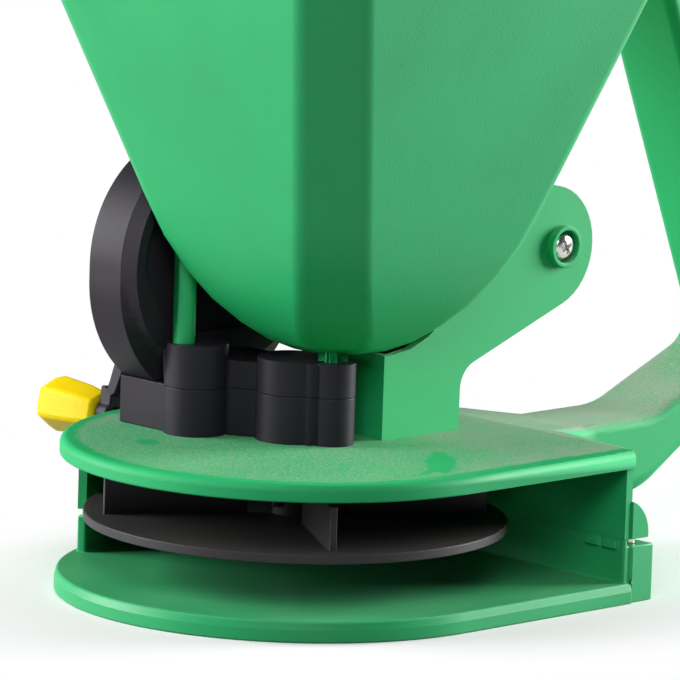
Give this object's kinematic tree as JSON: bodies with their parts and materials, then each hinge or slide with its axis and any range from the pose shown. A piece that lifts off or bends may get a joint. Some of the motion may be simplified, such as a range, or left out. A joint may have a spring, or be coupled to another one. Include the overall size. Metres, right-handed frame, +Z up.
{
  "type": "handheld seed spreader",
  "caption": "Handheld broadcast spreader: square hopper over a flat spinner in an open-front base, gearbox with a side crank, loop handle with a trigger for the flow gate.",
  "frame": {"origin": "on the floor under the tray, on the axis of the spinner", "axes": "+Z up along the spinner axis, +Y towards the handle, +X towards the open side of the base; the crank is on -X and the seed leaves towards -Y"},
  "size_m": [0.1805, 0.271, 0.2505],
  "materials": {
    "green_plastic": "moulded satin plastic with a fine grain",
    "black_plastic": "moulded satin plastic",
    "yellow_plastic": "smooth moulded plastic",
    "steel": "bright zinc-plated steel",
    "nylon": "natural nylon",
    "bronze": "sintered bronze"
  },
  "bodies": {
    "frame": {"hopper": "green_plastic", "upper_body": "green_plastic", "lower_tray": "green_plastic", "gearbox_lower": "black_plastic", "gearbox_upper": "black_plastic", "gear_cover": "black_plastic", "spinner_bush": "black_plastic", "crank_bush": "bronze", "counter_bushes": "bronze", "hopper_screws": "steel", "ear_screws": "steel", "tray_screws": "steel", "cover_screws": "steel", "handle_screws": "steel", "trigger_pin": "steel"},
    "crank": {"crank_arm": "black_plastic", "crank_shaft": "steel", "crank_gear": "nylon", "crank_screw": "steel", "knob_pin": "steel"},
    "knob": {"crank_knob": "yellow_plastic"},
    "counter": {"counter_shaft": "steel", "counter_pinion": "nylon", "counter_bevel": "nylon"},
    "spinner": {"spinner_disc": "black_plastic", "spinner_shaft": "steel", "spinner_bevel": "nylon", "spinner_nut": "steel"},
    "trigger": {"trigger": "yellow_plastic", "trigger_spring": "steel"},
    "gate": {"flow_gate": "black_plastic", "link_bar": "steel", "gate_rivet": "steel"}
  },
  "joints": [
    {"name": "crank_turn", "type": "hinge", "parent": "frame", "child": "crank", "pos_m": [-0.05, 0, 0.0906], "axis": [1, 0, 0], "continuous": true},
    {"name": "knob_spin", "type": "hinge", "parent": "crank", "child": "knob", "pos_m": [-0.0724, -0.00774, 0.04171], "axis": [1, 0, 0], "continuous": true},
    {"name": "counter_turn", "type": "hinge", "parent": "frame", "child": "counter", "pos_m": [0, 0, 0.0576], "axis": [1, 0, 0], "continuous": true},
    {"name": "spinner_turn", "type": "hinge", "parent": "frame", "child": "spinner", "pos_m": [0, 0, 0.0205], "axis": [0, 0, 1], "continuous": true},
    {"name": "trigger_pull", "type": "hinge", "parent": "frame", "child": "trigger", "pos_m": [0, 0.11988, 0.214], "axis": [1, 0, 0], "range_deg": [0, 26], "stiffness_Nm_per_rad": 0.3, "springref_deg": -11.46},
    {"name": "gate_slide", "type": "slide", "parent": "frame", "child": "gate", "axis": [0, -0.3234, -0.9463], "range_m": [0, 0.0065]}
  ],
  "couplings": [
    {"joint": "counter_turn", "follows": "crank_turn", "ratio": -4},
    {"joint": "spinner_turn", "follows": "crank_turn", "ratio": 4},
    {"joint": "gate_slide", "follows": "trigger_pull", "m_per_rad": 0.014324}
  ]
}
